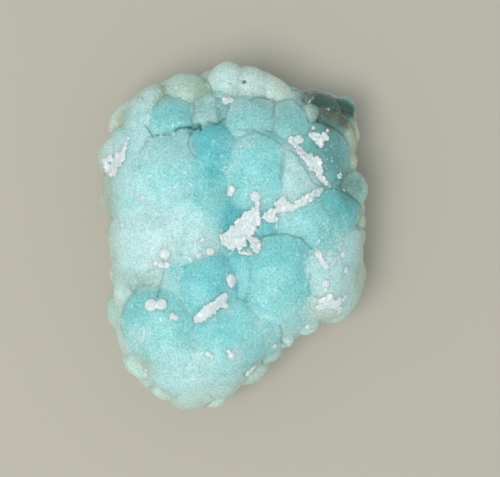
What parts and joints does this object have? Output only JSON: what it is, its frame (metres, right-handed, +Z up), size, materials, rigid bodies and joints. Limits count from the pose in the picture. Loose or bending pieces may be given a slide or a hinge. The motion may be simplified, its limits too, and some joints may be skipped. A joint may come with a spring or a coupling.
{
  "type": "smithsonite specimen",
  "caption": "Raw botryoidal smithsonite: a lumpy mass of crowded frosted turquoise domes with cream rims and a white granular crust, flat where it broke from its rock.",
  "frame": {"origin": "on the flat broken face that it rests on, under the middle of the specimen", "axes": "+Z up out of the growth surface, +Y along its length toward the wider end, +X across it"},
  "size_m": [0.0387, 0.0499, 0.0189],
  "materials": {
    "smithsonite": "frosted, slightly translucent turquoise mineral"
  },
  "bodies": {
    "root": {"smithsonite": "smithsonite"}
  },
  "joints": []
}
